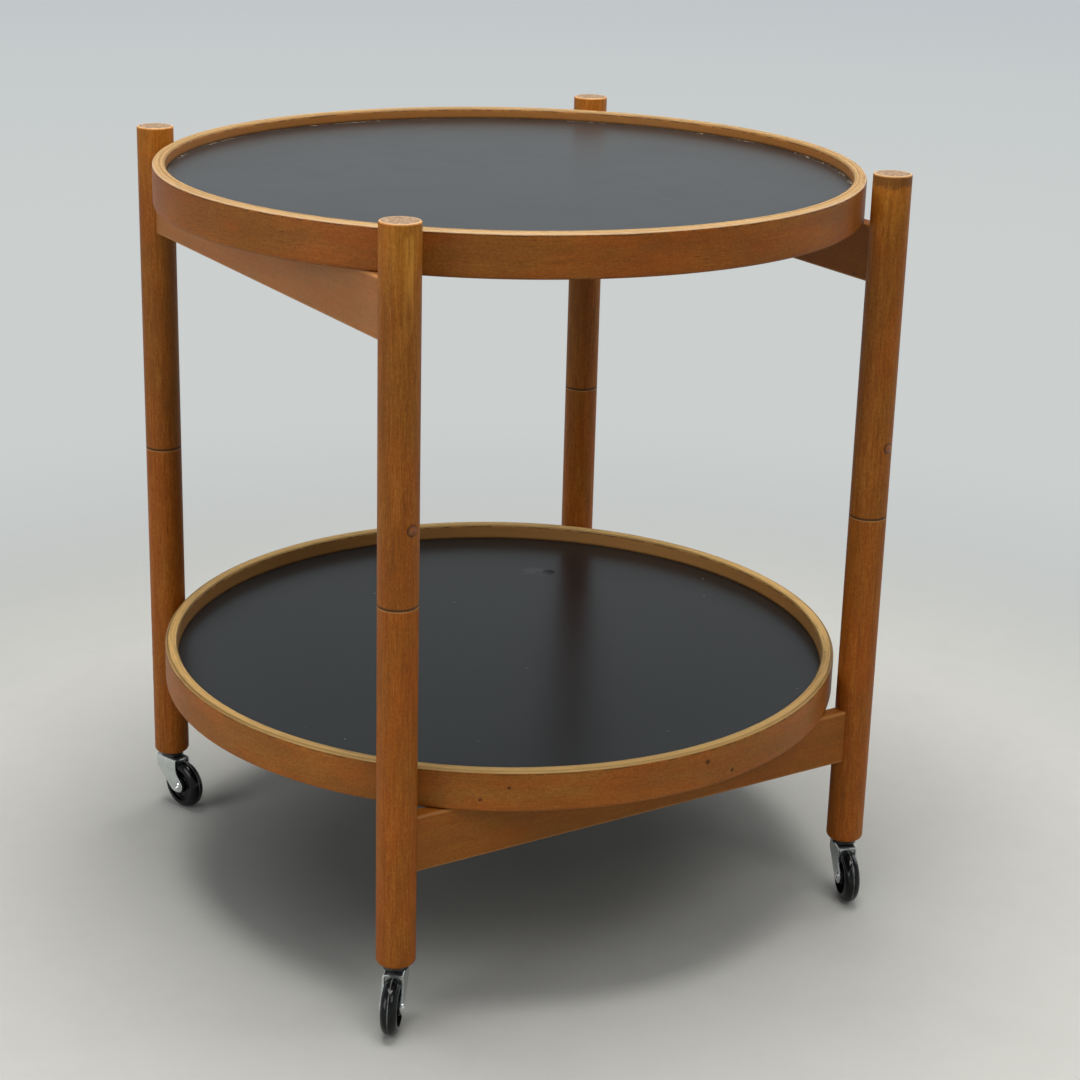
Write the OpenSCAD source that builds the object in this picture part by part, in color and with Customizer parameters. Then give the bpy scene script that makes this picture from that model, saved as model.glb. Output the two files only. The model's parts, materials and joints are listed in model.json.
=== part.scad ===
// Round tray table on four casters: two loose trays on a frame of four jointed legs that folds flat

/* [Trays] */
// Outer diameter of both trays
tray_d = 600; // [500:5:700]
// Height of a tray's rim
rim_h = 35; // [28:1:50]
// Thickness of a tray's rim
rim_t = 11; // [8:0.5:16]
// Radius of the rounded edges of a rim
rim_round = 3; // [1:0.5:3.5]
// Thickness of the wooden core of a tray's panel
core_t = 8; // [5:0.5:10]
// Thickness of the black laminate on each side of the panel
laminate_t = 1; // [0.6:0.1:1.5]
// How far the panel is let into the rim
panel_let_in = 4; // [2:0.5:5]
// Depth of the shallow side of a tray, from the rim's edge to the panel
shallow_side = 10; // [6:0.5:14]

/* [Legs] */
// Gap between a leg and the rims of the trays
leg_gap = 5.7; // [3:0.1:20]
// Diameter of the legs
leg_d = 32; // [28:1:40]
// Length of a leg's lower half
lower_leg_len = 304; // [260:1:400]
// Length of a leg's upper half
upper_leg_len = 294; // [260:1:400]
// How far the legs stand above the rim of the upper tray
leg_above_rim = 10; // [0:1:30]
// Radius of the rounding at the top of a leg
leg_top_round = 1.5; // [0.5:0.5:4]
// Radius of the rounding at the bottom of a leg
leg_foot_round = 4; // [1:0.5:5]
// Bevel on the two edges that meet where the leg halves turn on each other
joint_bevel = 0.7; // [0.3:0.1:2]

/* [Rails] */
// Depth of a rail
rail_h = 48; // [40:1:60]
// Thickness of a rail
rail_t = 14; // [12:0.5:20]
// Radius of the rounded edges of a rail
rail_round = 2; // [0.5:0.5:3]
// Height of the lower rails' top edge above the bottom of the legs
lower_rail_top = 126; // [105:1:180]
// Diameter of the dowels that join rails to legs
dowel_d = 8; // [6:0.5:9]
// Length of a dowel
dowel_len = 34; // [24:1:50]
// Depth of a dowel in its leg
dowel_in_leg = 10; // [6:0.5:12]
// Distance between the two dowels at a rail's end
dowel_pitch = 24; // [16:1:28]

/* [Pivots] */
// Diameter of the steel pin that a leg's halves turn on
pivot_d = 12; // [9.5:0.5:14]
// Length of the pin in the lower half
pivot_in_lower = 50; // [30:1:80]
// Length of the pin above the groove for the peg
pin_past_groove = 10; // [3:0.5:30]
// Diameter of the groove in the pin
groove_d = 8; // [5:0.5:8.5]
// Diameter of the wooden peg that runs in the groove
peg_d = 8.5; // [6:0.5:12]
// Height of the peg above the turning face
peg_height = 63; // [30:1:90]
// How far the peg stands out of the leg
peg_proud = 1.2; // [0.5:0.1:2]
// Angle between a peg and the line of the upper rail
peg_turn = 12; // [-30:1:30]

/* [Wheels] */
// Diameter of a wheel
wheel_d = 46; // [40:1:60]
// Width of a wheel
wheel_w = 13.4; // [12:0.2:20]
// Thickness of a wheel's rim, from the tread inwards
tread_t = 7.5; // [5.5:0.5:10]
// Width of the flat middle of the tread, between its two rounded edges
tread_flat = 1.2; // [1:0.2:6]
// Diameter of a wheel's hub
hub_d = 14; // [12:0.5:18]
// Thickness of the web between hub and rim
web_t = 5; // [4:0.5:8]
// Diameter of the axle
axle_d = 6; // [4:0.5:7]

/* [Casters] */
// Distance from a wheel's axle to the line it steers about
caster_trail = 17; // [14:0.5:24]
// Space between the top of the wheel and the fork
wheel_room = 1.4; // [0.4:0.1:3]
// Thickness of the fork's sheet steel
fork_t = 1.6; // [1.2:0.1:2.4]
// Outer radius of the bends along the fork's top
fork_bend = 3; // [2.5:0.1:4]
// Length of the fork's top ahead of the steering line, towards the wheel
fork_ahead = 14; // [12:0.5:16]
// Length of the fork's top behind the steering line
fork_behind = 12.5; // [11:0.5:14]
// Depth of the fork's sides at their back edge
fork_rear_drop = 11.5; // [6:0.5:14]
// Radius of the fork's round ends, about the axle
fork_boss_r = 6.5; // [5:0.1:7]
// How much longer the round ends are towards the back
fork_heel = 5; // [0:0.5:7]
// Radius of the hollow curve in the fork's front edge
fork_front_curve = 14; // [10:0.5:15]
// Diameter of the balls that carry the load
ball_d = 3; // [2.6:0.1:3.6]
// Diameter of the cup over the balls
cup_d = 21; // [20:0.5:24]
// Diameter of the stem in the leg
stem_d = 8; // [6:0.5:9]
// Length of the stem above the bottom of the leg
stem_len = 34; // [24:1:40]
// Direction that the front left wheel trails in
steer_front_left = -128; // [-180:1:180]
// Direction that the front right wheel trails in
steer_front_right = -113; // [-180:1:180]
// Direction that the back left wheel trails in
steer_back_left = -73; // [-180:1:180]
// Direction that the back right wheel trails in
steer_back_right = -60; // [-180:1:180]

/* [Fits] */
// Clearance all round a pin or stem that turns
running_gap = 0.05; // [0.02:0.01:0.1]
// Clearance all round a glued or pressed piece
seat_gap = 0.05; // [0.02:0.01:0.1]
// Clearance between faces that pass each other
side_gap = 0.4; // [0.3:0.05:0.6]
// Spare depth at the end of a blind hole
end_gap = 1; // [0.5:0.1:2]
// Clearance between the balls and the cup
ball_gap = 0.3; // [0.2:0.05:0.6]

/* [Hidden] */
$fn = 96;
// a small overlap that lets cutting shapes run past a face
eps = 0.01;

CORNERS = ["front_left", "front_right", "back_left", "back_right"];
TRAYS = ["upper", "lower"];
UPPER_SIDES = ["left", "right"];
LOWER_SIDES = ["front", "back"];

// colours as in the photograph
beech = "#8a5224";
beech_dark = "#6f3f1b";
rim_brown = "#8f5c2c";
peg_brown = "#9a4f2c";
black_laminate = "#202224";
core_wood = "#c9a878";
steel = "#c3c7c8";
black_polymer = "#141414";

// which way each corner lies, and how its wheel is turned, in the order of CORNERS
side_x = [-1, 1, -1, 1];
side_y = [-1, -1, 1, 1];
steer = [steer_front_left, steer_front_right, steer_back_left, steer_back_right];

// wheels and forks
wheel_r = wheel_d / 2;
hub_r = hub_d / 2;
axle_r = axle_d / 2;
mould_line_h = 0.25;
mould_line_w = 0.9;
fork_w = wheel_w + 2 * (side_gap + fork_t);
fork_top = wheel_d + wheel_room + fork_t;
tread_round = (wheel_w - tread_flat) / 2;
// the hollow curve in the fork's front edge turns by this angle and ends this far above the axle
fork_front_turn = 40;
fork_front_low = 9;
rivet_head_r = axle_r + 0.9;
rivet_head_t = 1;
rivet_hollow_r = 1.6;
rivet_lip = 0.5;
rivet_bevel = 0.8;
rivet_edge = 0.3;

// stems, balls and sockets
stem_r = stem_d / 2;
stem_bevel = 1;
stem_head_r = stem_r + 2;
stem_head_t = 1.4;
cup_r = cup_d / 2;
cup_wall = 0.9;
cup_roof = 0.9;
cup_bevel = 1;
socket_r = stem_r + 1.5;
socket_flange_r = socket_r + 4;
socket_flange_t = 0.8;
cup_top = fork_top + ball_d + ball_gap + cup_roof;
ball_ring_r = (stem_r + cup_r - cup_wall) / 2;
// least room between neighbouring balls
ball_spacing = 0.8;
ball_count = floor(180 / asin((ball_d + ball_spacing) / 2 / ball_ring_r));

// heights above the floor
caster_h = cup_top + socket_flange_t;
joint_z = caster_h + lower_leg_len;
leg_top_z = joint_z + upper_leg_len;
upper_rail_z = leg_top_z - leg_above_rim - rim_h;
lower_rail_z = caster_h + lower_rail_top;

// trays: the upper one lies shallow side up and the lower one deep side up
tray_r = tray_d / 2;
panel_r = tray_r - rim_t + panel_let_in;
panel_t = core_t + 2 * laminate_t;
deep_side = rim_h - panel_t - shallow_side;
upper_panel_z = upper_rail_z + deep_side;
lower_panel_z = lower_rail_z + shallow_side;

// legs stand on a square, just clear of the trays
leg_r = leg_d / 2;
half_spacing = (tray_r + leg_gap + leg_r) / sqrt(2);
dowel_out = leg_r - dowel_in_leg;

// pivots
pivot_r = pivot_d / 2;
pin_bevel = 1;
groove_h = peg_d + 2 * side_gap;
pivot_in_upper = peg_height + groove_h / 2 + pin_past_groove;

// rectangle from (0, 0) to (r, h) with its outer corner at h rounded, for a turned piece
module turned_outline(r, h, round) {
    square([r - round, h]);
    square([r, h - round]);
    translate([r - round, h - round]) circle(round);
}

// rectangle about the origin with four round corners
module round_rectangle(w, h, r) {
    square([w - 2 * r, h], center = true);
    square([w, h - 2 * r], center = true);
    for (x = [-1, 1]) {
        for (y = [-1, 1]) {
            translate([x * (w / 2 - r), y * (h / 2 - r)]) circle(r);
        }
    }
}

// lays children along the Y axis, with what was up pointing towards +Y
module along_y() {
    rotate([-90, 0, 0]) children();
}

// moves what stands about the origin to the corner i
module at_corner(i) {
    translate([side_x[i] * half_spacing, side_y[i] * half_spacing, 0]) children();
}

// puts a rail that lies along Y on its side: left or right if it is upper, else front or back
module on_side(upper, sign) {
    rotate([0, 0, upper ? 0 : 90]) translate([sign * half_spacing, 0, 0]) children();
}

// the two dowels at each end of a rail along Y, with a clearance all round
module rail_dowels(top_z, gap, spare) {
    middle = top_z - rail_h / 2;
    for (end = [-1, 1]) {
        for (level = [-1, 1]) {
            translate([0, end * (half_spacing - dowel_out + spare), middle + level * dowel_pitch / 2])
                mirror([0, end > 0 ? 1 : 0, 0])
                    along_y() cylinder(r = dowel_d / 2 + gap, h = dowel_len + 2 * spare);
        }
    }
}

// shank of a peg along +Y, from a point inside the leg to the leg's surface
module peg_shank(gap, tip) {
    translate([0, 0, joint_z + peg_height])
        along_y() translate([0, 0, tip]) cylinder(r = peg_d / 2 + gap, h = leg_r - tip);
}

// turns a peg that points along +Y so that it points away from the rail at the corner i
module peg_direction(i) {
    rotate([0, 0, side_y[i] > 0 ? peg_turn : 180 + peg_turn]) children();
}

// holes for the dowels of the rail at the corner i, about that corner's leg
module dowel_holes(i, upper) {
    translate([-side_x[i] * half_spacing, -side_y[i] * half_spacing, 0])
        on_side(upper, upper ? side_x[i] : side_y[i])
            rail_dowels(upper ? upper_rail_z : lower_rail_z, seat_gap, end_gap);
}

// ring that bevels the edge of a leg half at its turning face
module bevel_ring(up) {
    mirror([0, 0, up > 0 ? 0 : 1])
        rotate_extrude()
            polygon([
                [leg_r - joint_bevel, 0],
                [leg_r, joint_bevel],
                [leg_r + 1, joint_bevel],
                [leg_r + 1, -1],
                [leg_r - joint_bevel, -1]
            ]);
}

module upper_leg(i) {
    color(beech)
    at_corner(i) {
        difference() {
            translate([0, 0, joint_z]) rotate_extrude() turned_outline(leg_r, upper_leg_len, leg_top_round);
            translate([0, 0, joint_z - eps])
                cylinder(r = pivot_r + running_gap, h = pivot_in_upper + end_gap + eps);
            translate([0, 0, joint_z]) bevel_ring(1);
            peg_direction(i) peg_shank(seat_gap, 0);
            dowel_holes(i, true);
        }
    }
}

module lower_leg(i) {
    color(beech_dark)
    at_corner(i) {
        difference() {
            translate([0, 0, joint_z])
                mirror([0, 0, 1]) rotate_extrude() turned_outline(leg_r, lower_leg_len, leg_foot_round);
            translate([0, 0, joint_z - pivot_in_lower - end_gap])
                cylinder(r = pivot_r + seat_gap, h = pivot_in_lower + end_gap + eps);
            translate([0, 0, joint_z]) bevel_ring(-1);
            translate([0, 0, caster_h - eps])
                cylinder(r = socket_r + seat_gap, h = stem_len + end_gap + eps);
            dowel_holes(i, false);
        }
    }
}

// steel pin: glued in the lower half, turns in the upper half, held there by the peg in its groove
module pivot_pin(i) {
    pin_len = pivot_in_lower + pivot_in_upper;
    color(steel)
    at_corner(i) {
        difference() {
            translate([0, 0, joint_z - pivot_in_lower])
                rotate_extrude()
                    polygon([
                        [0, 0],
                        [pivot_r - pin_bevel, 0],
                        [pivot_r, pin_bevel],
                        [pivot_r, pin_len - pin_bevel],
                        [pivot_r - pin_bevel, pin_len],
                        [0, pin_len]
                    ]);
            translate([0, 0, joint_z + peg_height - groove_h / 2])
                difference() {
                    cylinder(r = pivot_r + 1, h = groove_h);
                    translate([0, 0, -1]) cylinder(r = groove_d / 2, h = groove_h + 2);
                }
        }
    }
}

// peg: its tip runs in the pin's groove and its domed head shows on the leg
module peg(i) {
    color(peg_brown)
    at_corner(i) {
        peg_direction(i) {
            peg_shank(0, groove_d / 2 + side_gap);
            translate([0, leg_r, joint_z + peg_height]) peg_head();
        }
    }
}

// domed head of a peg: a cap cut from a ball
module peg_head() {
    dome_r = (pow(peg_d / 2, 2) + pow(peg_proud, 2)) / (2 * peg_proud);
    intersection() {
        translate([0, peg_proud - dome_r, 0]) sphere(dome_r);
        translate([0, -eps, 0]) along_y() cylinder(r = peg_d / 2, h = peg_proud + eps);
    }
}

// rail along Y between two legs, its ends shaped round the legs
module rail(top_z) {
    difference() {
        translate([0, 0, top_z - rail_h / 2])
            rotate([90, 0, 0])
                linear_extrude(height = 2 * half_spacing, center = true)
                    round_rectangle(rail_t, rail_h, rail_round);
        for (end = [-1, 1]) {
            translate([0, end * half_spacing, top_z - rail_h - 1])
                cylinder(r = leg_r + seat_gap, h = rail_h + 2);
        }
        rail_dowels(top_z, seat_gap, end_gap);
    }
}

module upper_rail(sign) {
    color(beech) on_side(true, sign) rail(upper_rail_z);
}

module lower_rail(sign) {
    color(beech_dark) on_side(false, sign) rail(lower_rail_z);
}

module dowels(upper, sign) {
    color(core_wood) on_side(upper, sign) rail_dowels(upper ? upper_rail_z : lower_rail_z, 0, 0);
}

// tray rim with its lower edge at z, grooved for the panel at panel_z
module tray_rim(z, panel_z) {
    color(rim_brown)
    rotate_extrude() {
        difference() {
            translate([tray_r - rim_t / 2, z + rim_h / 2]) round_rectangle(rim_t, rim_h, rim_round);
            translate([0, panel_z - seat_gap]) square([panel_r + seat_gap, panel_t + 2 * seat_gap]);
        }
    }
}

// one layer of a panel, from the height z up
module panel_layer(z, t) {
    translate([0, 0, z]) cylinder(r = panel_r, h = t, $fn = 180);
}

module panel_core(panel_z) {
    color(core_wood) panel_layer(panel_z + laminate_t, core_t);
}

module top_laminate(panel_z) {
    color(black_laminate) panel_layer(panel_z + laminate_t + core_t, laminate_t);
}

module bottom_laminate(panel_z) {
    color(black_laminate) panel_layer(panel_z, laminate_t);
}

// caster pieces stand at the corner i, with the wheel trailing along their own +X
module at_caster(i) {
    at_corner(i) rotate([0, 0, steer[i]]) children();
}

// steel sleeve pressed into the foot of the leg, with a flange under it
module caster_socket(i) {
    color(steel)
    at_caster(i) {
        difference() {
            union() {
                translate([0, 0, cup_top]) cylinder(r = socket_flange_r, h = socket_flange_t);
                translate([0, 0, cup_top]) cylinder(r = socket_r, h = socket_flange_t + stem_len);
            }
            translate([0, 0, cup_top - eps])
                cylinder(r = stem_r + seat_gap, h = socket_flange_t + stem_len + 2 * eps);
        }
    }
}

// stem with the inverted cup that covers the balls, riveted over under the fork
module caster_stem(i) {
    head_top = fork_top - fork_t - running_gap;
    color(steel)
    at_caster(i) {
        rotate_extrude()
            polygon([
                [0, head_top - stem_head_t],
                [stem_head_r - stem_bevel, head_top - stem_head_t],
                [stem_head_r, head_top - stem_head_t / 2],
                [stem_head_r, head_top],
                [stem_r, head_top],
                [stem_r, cup_top - cup_roof],
                [cup_r - cup_wall, cup_top - cup_roof],
                [cup_r - cup_wall, fork_top + side_gap],
                [cup_r, fork_top + side_gap],
                [cup_r, cup_top - cup_bevel],
                [cup_r - cup_bevel, cup_top],
                [stem_r, cup_top],
                [stem_r, caster_h + stem_len - stem_bevel],
                [stem_r - stem_bevel, caster_h + stem_len],
                [0, caster_h + stem_len]
            ]);
    }
}

module caster_balls(i) {
    color(steel)
    at_caster(i) {
        for (k = [0 : ball_count - 1]) {
            rotate([0, 0, 360 / ball_count * k])
                translate([ball_ring_r, 0, fork_top + ball_d / 2]) sphere(ball_d / 2, $fn = 24);
        }
    }
}

// shape under a bent sheet: a rectangle w wide from the height low to the height top, with two round corners
module bent_shape(w, low, top, bend) {
    translate([-w / 2, low]) square([w, top - bend - low]);
    translate([-w / 2 + bend, low]) square([w - 2 * bend, top - low]);
    for (s = [-1, 1]) {
        translate([s * (w / 2 - bend), top - bend]) circle(bend);
    }
}

// cross-section of the fork, across its width: a channel with bent corners
module fork_channel() {
    low = wheel_r - fork_boss_r;
    difference() {
        bent_shape(fork_w, low, fork_top, fork_bend);
        bent_shape(fork_w - 2 * fork_t, low - 1, fork_top - fork_t, fork_bend - fork_t);
    }
}

// point where a straight line from the point p touches the circle of the radius r about c, on the given side
function touch_point(p, c, r, side) =
    let (away = p - c, turn = atan2(away[1], away[0]) + side * acos(r / norm(away)))
    c + r * [cos(turn), sin(turn)];

// side view of the fork: its sides run down from the top to round ends about the axle
module fork_side_view() {
    axle = [caster_trail, wheel_r];
    heel = axle - [fork_heel, 0];
    curve_top = wheel_r + fork_front_low + fork_front_curve * sin(fork_front_turn);
    curve = [fork_ahead + fork_front_curve, curve_top];
    front = [for (a = [0 : 8 : fork_front_turn]) curve - fork_front_curve * [cos(a), sin(a)]];
    back = [-fork_behind, fork_top - fork_rear_drop];
    polygon(concat(
        [
            [-fork_behind, fork_top],
            back,
            touch_point(back, heel, fork_boss_r, 1),
            heel,
            axle,
            touch_point(front[len(front) - 1], axle, fork_boss_r, -1)
        ],
        [for (k = [len(front) - 1 : -1 : 0]) front[k]],
        [[fork_ahead, fork_top]]
    ));
    translate(axle) circle(fork_boss_r);
    translate(heel) circle(fork_boss_r);
    translate(heel - [0, fork_boss_r]) square([fork_heel, fork_boss_r]);
}

module caster_fork(i) {
    color(steel)
    at_caster(i) {
        difference() {
            intersection() {
                rotate([90, 0, 90])
                    translate([0, 0, -fork_behind - 1])
                        linear_extrude(height = fork_behind + caster_trail + fork_boss_r + 2) fork_channel();
                rotate([90, 0, 0])
                    linear_extrude(height = fork_w + 2, center = true) fork_side_view();
            }
            translate([0, 0, fork_top - fork_t - 1]) cylinder(r = stem_r + running_gap, h = fork_t + 2);
            translate([caster_trail, -fork_w / 2 - 1, wheel_r])
                along_y() cylinder(r = axle_r + seat_gap, h = fork_w + 2);
        }
    }
}

// hollow rivet through both sides of the fork
module caster_axle(i) {
    // half of its outline: distance from the axis, and distance past the fork's side
    end = [
        [0, -1],
        [rivet_hollow_r, 0],
        [rivet_hollow_r + rivet_lip, rivet_head_t],
        [rivet_head_r - rivet_bevel, rivet_head_t],
        [rivet_head_r, rivet_edge],
        [rivet_head_r, 0],
        [axle_r, 0]
    ];
    color(steel)
    at_caster(i) {
        translate([caster_trail, 0, wheel_r])
            along_y()
                rotate_extrude()
                    polygon(concat(
                        [for (p = end) [p[0], -fork_w / 2 - p[1]]],
                        [for (k = [len(end) - 1 : -1 : 0]) [end[k][0], fork_w / 2 + end[k][1]]]
                    ));
    }
}

// cross-section of a wheel: bore, hub, thin web and a full rim with rounded tread
module wheel_section() {
    tread_r = wheel_r - mould_line_h;
    bore_r = axle_r + running_gap;
    translate([bore_r, -wheel_w / 2]) square([hub_r - bore_r, wheel_w]);
    translate([bore_r, -web_t / 2]) square([tread_r - bore_r - 1, web_t]);
    difference() {
        round_rectangle(2 * tread_r, wheel_w, tread_round);
        translate([-2 * tread_r, -wheel_w]) square([2 * tread_r + wheel_r - tread_t, 2 * wheel_w]);
    }
    translate([tread_r - 1, -mould_line_w / 2]) square([1 + mould_line_h, mould_line_w]);
}

module caster_wheel(i) {
    color(black_polymer)
    at_caster(i)
        translate([caster_trail, 0, wheel_r])
            along_y() rotate_extrude() wheel_section();
}

tray_rim(upper_rail_z, upper_panel_z);  // upper_rim
panel_core(upper_panel_z);  // upper_panel_core
top_laminate(upper_panel_z);  // upper_top_laminate
bottom_laminate(upper_panel_z);  // upper_bottom_laminate
tray_rim(lower_rail_z, lower_panel_z);  // lower_rim
panel_core(lower_panel_z);  // lower_panel_core
top_laminate(lower_panel_z);  // lower_top_laminate
bottom_laminate(lower_panel_z);  // lower_bottom_laminate
for (s = [0, 1]) {
    upper_rail(2 * s - 1);
    dowels(true, 2 * s - 1);
    union() {
        peg(s);
        peg(s + 2);
    }
    lower_rail(2 * s - 1);
    dowels(false, 2 * s - 1);
}
for (i = [0 : 3]) {
    upper_leg(i);
    lower_leg(i);
    pivot_pin(i);
    caster_socket(i);
    caster_stem(i);
    caster_balls(i);
    caster_fork(i);
    caster_axle(i);
    caster_wheel(i);
}
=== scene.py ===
import json
import math

import bmesh
import bpy
from mathutils import Matrix, Vector


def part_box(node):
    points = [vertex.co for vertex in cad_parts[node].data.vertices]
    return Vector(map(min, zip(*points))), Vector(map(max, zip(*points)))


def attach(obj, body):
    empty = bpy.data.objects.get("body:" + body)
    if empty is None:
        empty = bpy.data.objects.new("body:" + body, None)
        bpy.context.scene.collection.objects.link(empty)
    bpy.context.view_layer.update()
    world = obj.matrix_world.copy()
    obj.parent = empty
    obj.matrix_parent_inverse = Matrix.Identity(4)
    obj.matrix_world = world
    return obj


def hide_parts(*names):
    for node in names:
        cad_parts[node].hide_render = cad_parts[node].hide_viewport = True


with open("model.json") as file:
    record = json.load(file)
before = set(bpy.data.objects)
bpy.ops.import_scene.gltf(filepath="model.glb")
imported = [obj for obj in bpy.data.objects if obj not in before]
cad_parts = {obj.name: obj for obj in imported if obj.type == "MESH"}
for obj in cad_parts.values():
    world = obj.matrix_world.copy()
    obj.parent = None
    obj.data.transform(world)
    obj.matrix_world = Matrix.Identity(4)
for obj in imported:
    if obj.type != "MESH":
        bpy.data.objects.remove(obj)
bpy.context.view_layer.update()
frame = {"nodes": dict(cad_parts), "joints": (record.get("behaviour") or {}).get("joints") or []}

# A round tray table on casters: two lift-off trays between four jointed legs. Most of its solids keep
# their shape and get a finish here. The rims, the forks and the wheels are made anew.
MM = 0.001
WELD = 0.001 * MM
CORNERS = ("front_left", "front_right", "back_left", "back_right")
TRAYS = ("upper", "lower")

# Camera of the photograph, in the table's frame
CAMERA_PLACE = (-0.9831, -1.6320, 0.9755)
CAMERA_AZIMUTH = -31.50
CAMERA_ELEVATION = 18.06
CAMERA_ROLL = 1.35
CAMERA_SENSOR = 36.0
CAMERA_LENS = 75.3
CAMERA_SHIFT = (0.0190, -0.0524)


def node_of(name):
    return frame["nodes"][name]


def top_of(name):
    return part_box(name)[1].z


def bottom_of(name):
    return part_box(name)[0].z


def centre_of(name):
    low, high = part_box(name)
    return (low + high) / 2


def joint_of(name):
    return next(joint for joint in frame["joints"] if joint["name"] == name)


def on_circle(radius, bearing, height):
    """A point round the table's middle, with its bearing in degrees."""
    angle = math.radians(bearing)
    return Vector((radius * math.cos(angle), radius * math.sin(angle), height))


# Sizes of the table: heights and outer radii from the frame, sections as the maker cuts them
TRAY_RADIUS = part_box("upper_rim")[1].x
PANEL_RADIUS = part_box("upper_panel_core")[1].x
RIM_HEIGHT = top_of("upper_rim") - bottom_of("upper_rim")
RIM_THICKNESS = 11 * MM
RIM_EDGE_ROUND = 3 * MM
RIM_VENEERS = 8
RIM_STEPS = 192
VENEER_GROOVE = 0.12 * MM
RIM_INSIDE = TRAY_RADIUS - RIM_THICKNESS
LEG_RADIUS = (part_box("upper_leg_front_left")[1].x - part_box("upper_leg_front_left")[0].x) / 2
LEG_SPREAD = centre_of("upper_leg_front_right").x
JOINT_HEIGHT = bottom_of("upper_leg_front_left")
LEG_TOP = top_of("upper_leg_front_left")
LEG_FOOT = bottom_of("lower_leg_front_left")
WHEEL_RADIUS = centre_of("caster_wheel_front_left").z
WHEEL_WIDTH = 13.4 * MM
WHEEL_STEPS = 96
FORK_EDGE = 0.28 * MM
AXLE_RADIUS = 3 * MM
PEG_HEIGHT = centre_of("pegs_left").z
PEG_RADIUS = 4.25 * MM
PEG_TURN = math.radians(12)

# Bearing in degrees of the side at which a rim's edge is palest, with painted shade towards the front and
# the back, and heights between which the legs turn pale
LIT_SIDE_AT = 162
BLEACHED_FROM_TO = (0.60, 0.66)


# Small words for building node trees. Each finds its tree from the sockets that it is given.
def feed(node, inputs):
    """Gives each named input a constant, or a link from a socket."""
    for key, value in inputs.items():
        if isinstance(value, bpy.types.NodeSocket):
            node.id_data.links.new(value, node.inputs[key])
        else:
            node.inputs[key].default_value = value


def place(kind, inputs, **settings):
    """Adds a node to the tree of the sockets among its inputs."""
    tree = next(value for value in inputs.values() if isinstance(value, bpy.types.NodeSocket)).id_data
    node = tree.nodes.new(kind)
    for key, value in settings.items():
        setattr(node, key, value)
    feed(node, inputs)
    return node


def calc(operation, a, b=0.0, clamp=False):
    node = place("ShaderNodeMath", {0: a, 1: b}, operation=operation, use_clamp=clamp)
    return node.outputs[0]


def times(a, b):
    return calc("MULTIPLY", a, b)


def plus(a, b):
    return calc("ADD", a, b)


def minus(a, b):
    return calc("SUBTRACT", a, b)


def ramp_between(value, low, high):
    """A smooth step: 0 below low and 1 above high, or the other way round if high is below low."""
    inputs = {"Value": value, "From Min": low, "From Max": high}
    return place("ShaderNodeMapRange", inputs, interpolation_type="SMOOTHSTEP").outputs[0]


def vector_calc(operation, a, b=(0.0, 0.0, 0.0)):
    """Vector arithmetic. It puts out a value where the operation makes one, and else a vector."""
    node = place("ShaderNodeVectorMath", {0: a, 1: b}, operation=operation)
    makes_value = operation in ("DISTANCE", "DOT_PRODUCT", "LENGTH")
    return node.outputs["Value" if makes_value else "Vector"]


def blend_colours(factor, a, b, kind="MIX"):
    node = place("ShaderNodeMix", {0: factor, 6: a, 7: b}, data_type="RGBA", blend_type=kind)
    return node.outputs[2]


def tinted(colour, mask, strength, tint):
    """A colour turned towards a tint by a mask times a strength."""
    return blend_colours(times(mask, strength), colour, tint)


def stretched(vector, scale, shift=(0, 0, 0), turn=(0, 0, 0)):
    inputs = {"Vector": vector, "Scale": scale, "Location": shift, "Rotation": turn}
    return place("ShaderNodeMapping", inputs).outputs[0]


def noise(vector, scale=1.0, detail=3.0, roughness=0.55, distortion=0.0, w=None):
    """Soft noise about 0.5, in three dimensions or, with a fourth coordinate w, in four."""
    inputs = {"Vector": vector, "Scale": scale, "Detail": detail}
    inputs.update({"Roughness": roughness, "Distortion": distortion})
    if w is None:
        return place("ShaderNodeTexNoise", inputs).outputs["Fac"]
    inputs["W"] = w
    return place("ShaderNodeTexNoise", inputs, noise_dimensions="4D").outputs["Fac"]


def split(vector):
    return place("ShaderNodeSeparateXYZ", {0: vector}).outputs


def join(x, y, z):
    return place("ShaderNodeCombineXYZ", {0: x, 1: y, 2: z}).outputs[0]


def radius_of(x, y):
    return calc("SQRT", plus(times(x, x), times(y, y)))


def new_group(name, inputs, outputs, kind="ShaderNodeTree"):
    """An empty node group, from the names of its sockets by kind. What uses it sets every input.

    Returns its tree, the values that it is given, and the node that takes its results.
    """
    tree = bpy.data.node_groups.new(name, kind)
    for way, sockets in (("OUTPUT", outputs), ("INPUT", inputs)):
        for socket_kind, names in sockets.items():
            for socket in names:
                tree.interface.new_socket(socket, in_out=way, socket_type="NodeSocket" + socket_kind)
    return tree, tree.nodes.new("NodeGroupInput").outputs, tree.nodes.new("NodeGroupOutput")


def use_group(group, inputs):
    return place("ShaderNodeGroup", inputs, node_tree=group).outputs


# Effects that several materials share
STAIN_INPUTS = ["Dark", "Middle", "Pale"]
FIGURE_INPUTS = ["Contrast", "Clouds", "Speckle", "Dashes"]


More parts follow.
